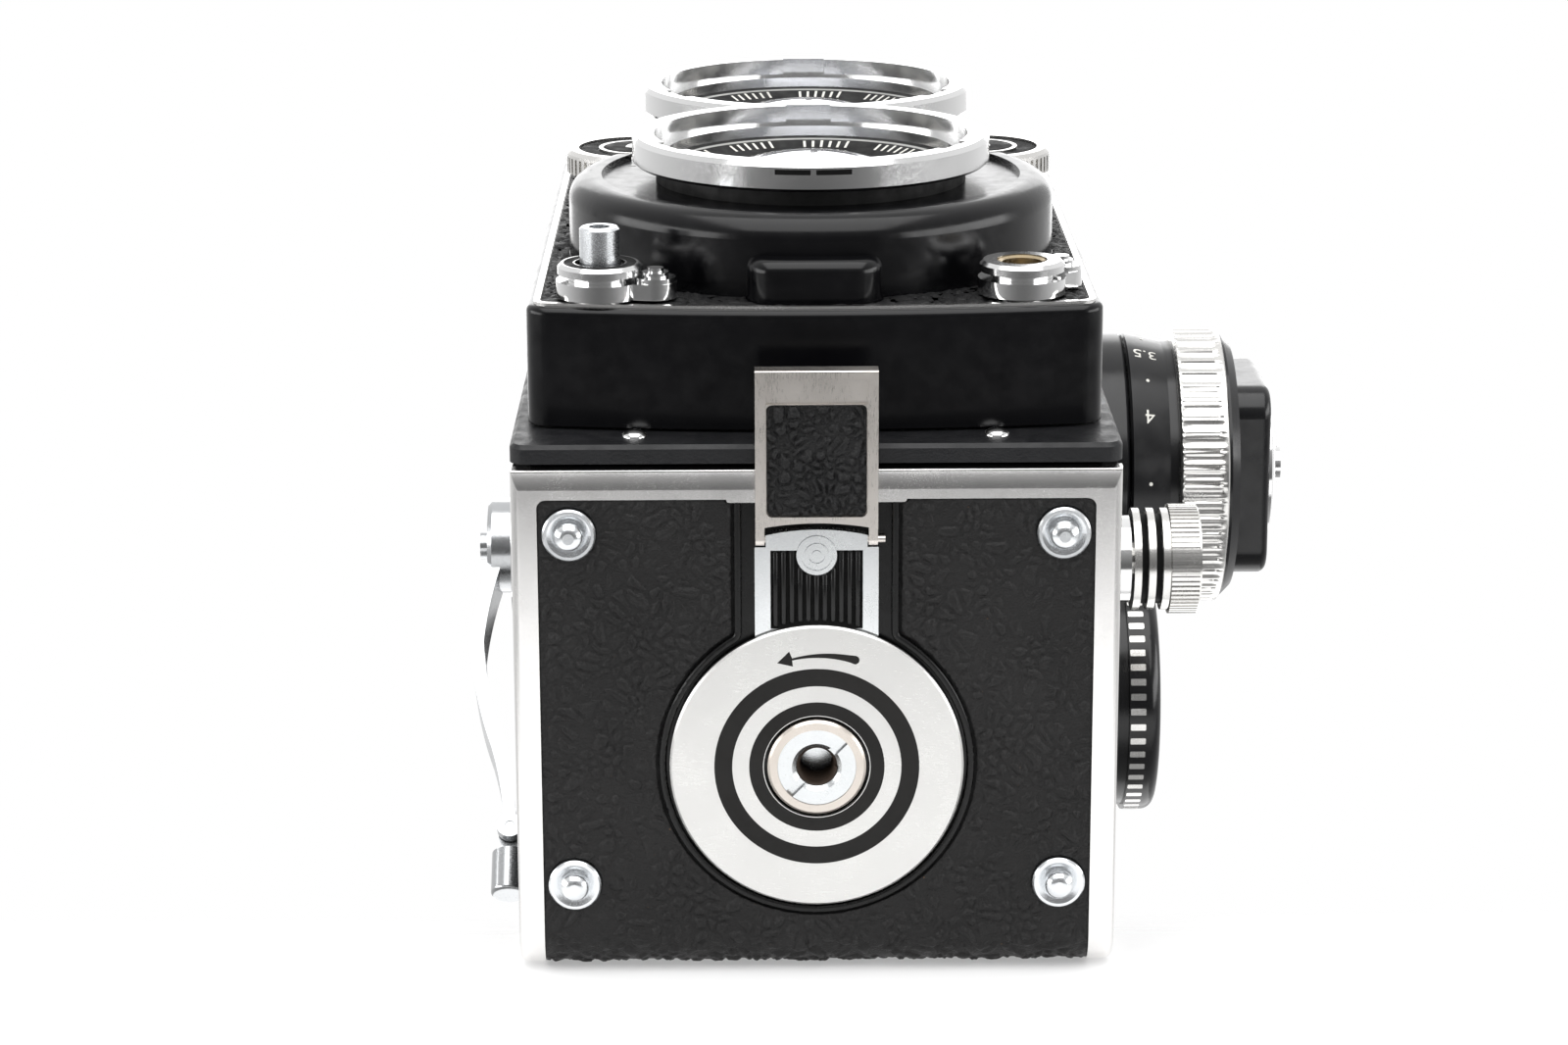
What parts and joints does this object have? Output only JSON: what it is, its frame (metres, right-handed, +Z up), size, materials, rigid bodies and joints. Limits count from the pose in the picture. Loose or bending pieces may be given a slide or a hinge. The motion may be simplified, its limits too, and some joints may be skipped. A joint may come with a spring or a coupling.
{
  "type": "twin lens reflex camera",
  "caption": "Roll-film twin lens reflex camera: leather-clad body, two bayonet lenses on a focusing front, hinged back and base with lock dial, side knobs, winding crank and folding hood.",
  "frame": {"origin": "on the plane that the four feet stand on, under the vertical line through both lens axes, at the middle of the body's depth", "axes": "+Z up through the hood, -Y out of the lenses, +X to the side of the focusing knob"},
  "size_m": [0.1129, 0.0989, 0.141],
  "materials": {
    "black_leather": "pebbled black leather",
    "crinkle_black": "fine crinkle black enamel",
    "gloss_black": "gloss black enamel",
    "black_shell": "satin black enamel",
    "matte_black": "flat black anti-reflection paint",
    "satin_chrome": "satin chrome plate",
    "bright_chrome": "bright chrome plate",
    "steel": "turned steel",
    "nickel": "satin nickel plate",
    "spool_metal": "black lacquered steel",
    "lens_glass": "coated optical glass",
    "screen_glass": "ground glass",
    "mirror_silver": "front-silvered mirror"
  },
  "bodies": {
    "camera_body": {"left_side_panel": "matte_black", "right_side_panel": "matte_black", "side_leathers": "black_leather", "front_flange": "crinkle_black", "top_deck": "black_shell", "mirror_box_floor": "matte_black", "film_chamber_wall": "matte_black", "film_gate": "matte_black", "mirror": "mirror_silver", "focusing_screen": "screen_glass", "back_hinge": "bright_chrome", "focus_bearing": "gloss_black", "side_bushes": "bright_chrome"},
    "back_door": {"base_plate": "matte_black", "back_plate": "matte_black", "door_frame": "satin_chrome", "door_leather": "black_leather", "recess_pan": "gloss_black", "feet": "bright_chrome", "tripod_bush": "nickel", "tripod_insert": "steel", "pressure_plate": "matte_black"},
    "lock_dial": {"lock_dial": "satin_chrome"},
    "latch": {"latch_link": "bright_chrome", "link_ribs": "matte_black"},
    "clasp": {"clasp": "satin_chrome", "clasp_leather": "black_leather"},
    "lens_board": {"front_shroud": "gloss_black", "panel_outline": "satin_chrome", "front_leather": "black_leather", "shutter_drum": "gloss_black", "taking_barrel": "matte_black", "viewing_barrel": "matte_black", "taking_ring": "bright_chrome", "viewing_ring": "bright_chrome", "taking_glass": "lens_glass", "viewing_glass": "lens_glass", "shutter_blades": "matte_black", "control_collars": "gloss_black"},
    "release_button": {"release_button": "bright_chrome"},
    "release_lock": {"release_lock_lever": "bright_chrome"},
    "sync_switch": {"sync_lever": "bright_chrome"},
    "speed_wheel": {"speed_wheel": "bright_chrome"},
    "aperture_wheel": {"aperture_wheel": "bright_chrome"},
    "focus_knob": {"focus_scale_ring": "gloss_black", "focus_grip_ring": "bright_chrome", "meter_housing": "gloss_black", "meter_cap": "bright_chrome"},
    "film_dial": {"film_dial": "gloss_black"},
    "lower_knob": {"lower_spool_knob": "bright_chrome"},
    "upper_knob": {"upper_spool_knob": "bright_chrome"},
    "supply_spool": {"supply_spool": "spool_metal"},
    "takeup_spool": {"takeup_spool": "spool_metal"},
    "crank": {"crank_arm": "bright_chrome"},
    "crank_handle": {"crank_handle": "bright_chrome"},
    "hood_lid": {"hood_lid": "black_shell", "magnifier": "black_shell"},
    "left_flap": {"left_flap": "black_shell"},
    "right_flap": {"right_flap": "black_shell"},
    "rear_flap": {"rear_flap": "black_shell"}
  },
  "joints": [
    {"name": "back_door_hinge", "type": "hinge", "parent": "camera_body", "child": "back_door", "pos_m": [0, 0.0312, 0.115], "axis": [1, 0, 0], "range_deg": [0, 95]},
    {"name": "lock_dial_turn", "type": "hinge", "parent": "back_door", "child": "lock_dial", "pos_m": [0, 0.00503, 0.0017], "axis": [0, 0, 1], "range_deg": [0, 60]},
    {"name": "latch_slide", "type": "slide", "parent": "back_door", "child": "latch", "axis": [0, -1, 0], "range_m": [0, 0.00209]},
    {"name": "clasp_hinge", "type": "hinge", "parent": "latch", "child": "clasp", "pos_m": [0, -0.0238, 0.0019], "axis": [1, 0, 0], "range_deg": [0, 100]},
    {"name": "focus_turn", "type": "hinge", "parent": "camera_body", "child": "focus_knob", "pos_m": [0.05, -0.0107, 0.0872], "axis": [1, 0, 0], "range_deg": [0, 280]},
    {"name": "lens_board_slide", "type": "slide", "parent": "camera_body", "child": "lens_board", "axis": [0, -1, 0], "range_m": [0, 0.00698]},
    {"name": "speed_wheel_turn", "type": "hinge", "parent": "lens_board", "child": "speed_wheel", "pos_m": [0.023, -0.058, 0.0697], "axis": [0, -1, 0], "range_deg": [-75, 75]},
    {"name": "aperture_wheel_turn", "type": "hinge", "parent": "lens_board", "child": "aperture_wheel", "pos_m": [-0.023, -0.058, 0.0697], "axis": [0, -1, 0], "range_deg": [-55, 55]},
    {"name": "release_press", "type": "slide", "parent": "lens_board", "child": "release_button", "axis": [0, 1, 0], "range_m": [0, 0.0022], "stiffness_N_per_m": 250, "springref_m": -0.001},
    {"name": "release_lock_turn", "type": "hinge", "parent": "lens_board", "child": "release_lock", "pos_m": [-0.0262, -0.052, 0.0156], "axis": [0, 1, 0], "range_deg": [0, 30]},
    {"name": "sync_switch_turn", "type": "hinge", "parent": "lens_board", "child": "sync_switch", "pos_m": [0.0254, -0.052, 0.0162], "axis": [0, -1, 0], "range_deg": [0, 40]},
    {"name": "film_dial_turn", "type": "hinge", "parent": "camera_body", "child": "film_dial", "pos_m": [0.042, 0.0118, 0.0522], "axis": [1, 0, 0], "range_deg": [0, 330]},
    {"name": "lower_knob_pull", "type": "slide", "parent": "camera_body", "child": "lower_knob", "axis": [1, 0, 0], "range_m": [0, 0.005]},
    {"name": "upper_knob_pull", "type": "slide", "parent": "camera_body", "child": "upper_knob", "axis": [1, 0, 0], "range_m": [0, 0.005]},
    {"name": "supply_spool_spin", "type": "hinge", "parent": "camera_body", "child": "supply_spool", "pos_m": [0, -0.0162, 0.0192], "axis": [1, 0, 0], "continuous": true},
    {"name": "takeup_spool_spin", "type": "hinge", "parent": "camera_body", "child": "takeup_spool", "pos_m": [0, 0.014, 0.086], "axis": [1, 0, 0], "continuous": true},
    {"name": "crank_turn", "type": "hinge", "parent": "camera_body", "child": "crank", "pos_m": [-0.042, -0.0057, 0.0642], "axis": [-1, 0, 0], "range_deg": [-180, 360]},
    {"name": "crank_handle_fold", "type": "hinge", "parent": "crank", "child": "crank_handle", "pos_m": [-0.03965, 0.02487, 0.03172], "axis": [0, 0.7282, 0.6854], "range_deg": [0, 90]},
    {"name": "hood_lid_hinge", "type": "hinge", "parent": "camera_body", "child": "hood_lid", "pos_m": [0, -0.0276, 0.125], "axis": [1, 0, 0], "range_deg": [0, 90]},
    {"name": "right_flap_hinge", "type": "hinge", "parent": "camera_body", "child": "right_flap", "pos_m": [0.0332, 0, 0.1266], "axis": [0, 1, 0], "range_deg": [0, 90]},
    {"name": "left_flap_hinge", "type": "hinge", "parent": "camera_body", "child": "left_flap", "pos_m": [-0.0332, 0, 0.1266], "axis": [0, -1, 0], "range_deg": [0, 90]},
    {"name": "rear_flap_hinge", "type": "hinge", "parent": "camera_body", "child": "rear_flap", "pos_m": [0, 0.0274, 0.1249], "axis": [-1, 0, 0], "range_deg": [0, 90]}
  ],
  "couplings": [
    {"joint": "lock_dial_turn", "follows": "latch_slide", "rad_per_m": 500},
    {"joint": "focus_turn", "follows": "lens_board_slide", "rad_per_m": 700},
    {"joint": "takeup_spool_spin", "follows": "crank_turn", "ratio": 1.2},
    {"joint": "right_flap_hinge", "follows": "hood_lid_hinge", "ratio": 1},
    {"joint": "left_flap_hinge", "follows": "hood_lid_hinge", "ratio": 1},
    {"joint": "rear_flap_hinge", "follows": "hood_lid_hinge", "ratio": 1}
  ]
}
